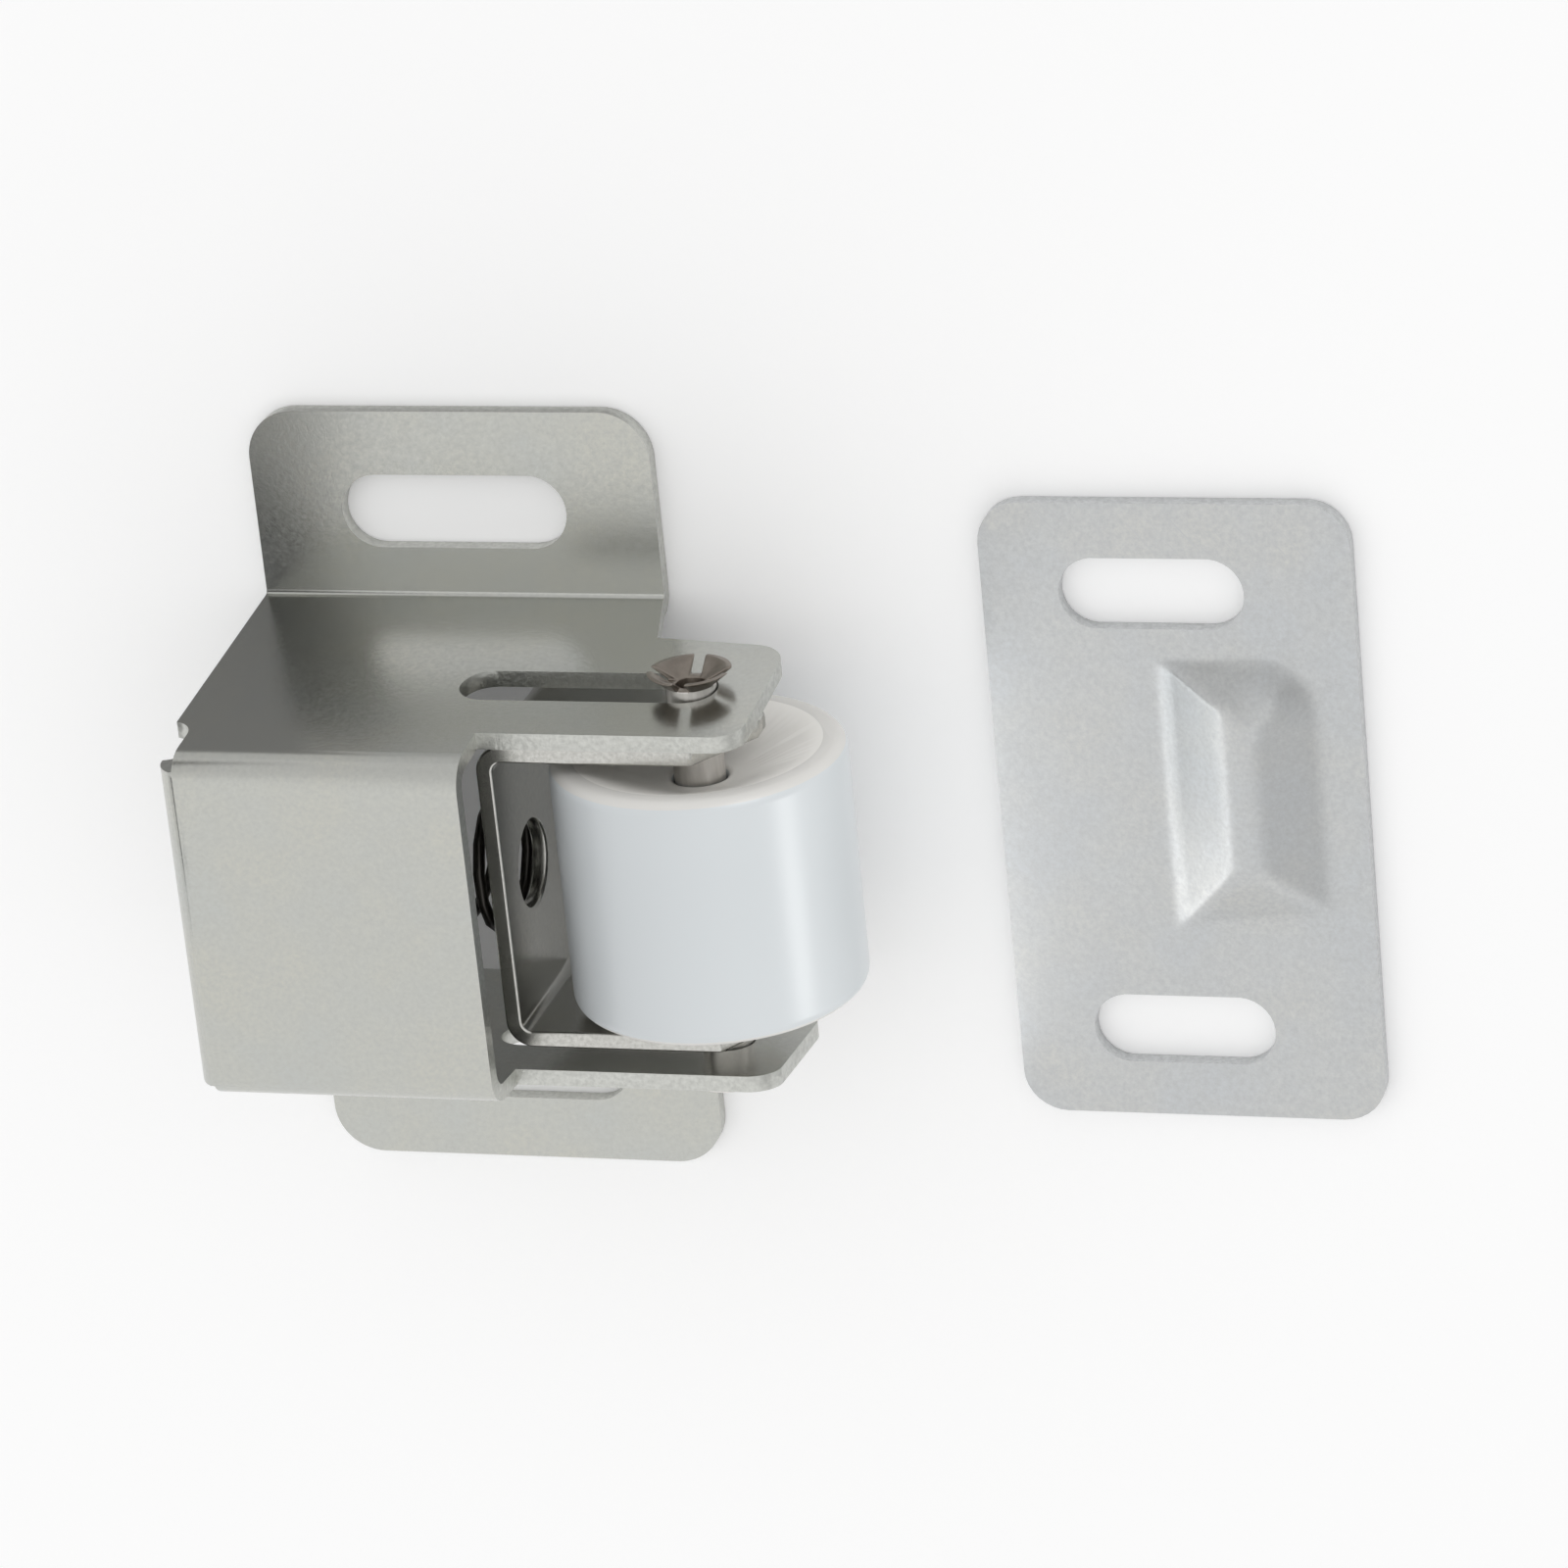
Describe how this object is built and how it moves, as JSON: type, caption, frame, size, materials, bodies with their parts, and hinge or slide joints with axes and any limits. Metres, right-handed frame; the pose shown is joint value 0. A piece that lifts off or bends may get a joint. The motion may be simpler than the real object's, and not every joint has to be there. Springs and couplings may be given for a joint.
{
  "type": "roller catch",
  "caption": "Cupboard door roller catch: a folded sheet housing with slotted flanges, a sprung nylon roller that slides in its ears, and a pressed strike plate with a ridge.",
  "frame": {"origin": "midway between the two screw slots of the catch, on the mounting face of its flanges", "axes": "+X the way the roller points out of the housing, +Y along the axle to its spread end, +Z out of the mounting face"},
  "size_m": [0.0664, 0.0488, 0.0222],
  "materials": {
    "plated_housing": "bright nickel plated sheet steel",
    "plated_carrier": "bright nickel plated sheet steel",
    "roller_nylon": "white moulded nylon with a soft sheen",
    "axle_steel": "plated turned pin",
    "spring_steel": "drawn spring wire",
    "plated_strike": "bright plated sheet steel with a fine grain"
  },
  "bodies": {
    "housing_body": {"housing": "plated_housing", "spring": "spring_steel", "strike_plate": "plated_strike"},
    "carrier": {"roller_carrier": "plated_carrier", "axle": "axle_steel"},
    "roller_body": {"roller": "roller_nylon"}
  },
  "joints": [
    {"name": "carrier_slide", "type": "slide", "parent": "housing_body", "child": "carrier", "axis": [1, 0, 0], "range_m": [-0.0124, 0], "stiffness_N_per_m": 1000, "springref_m": 0.008, "deforming": ["spring"]},
    {"name": "roller_spin", "type": "hinge", "parent": "carrier", "child": "roller_body", "pos_m": [0.0173, 0.0005, 0.0122], "axis": [0, 1, 0], "continuous": true}
  ]
}
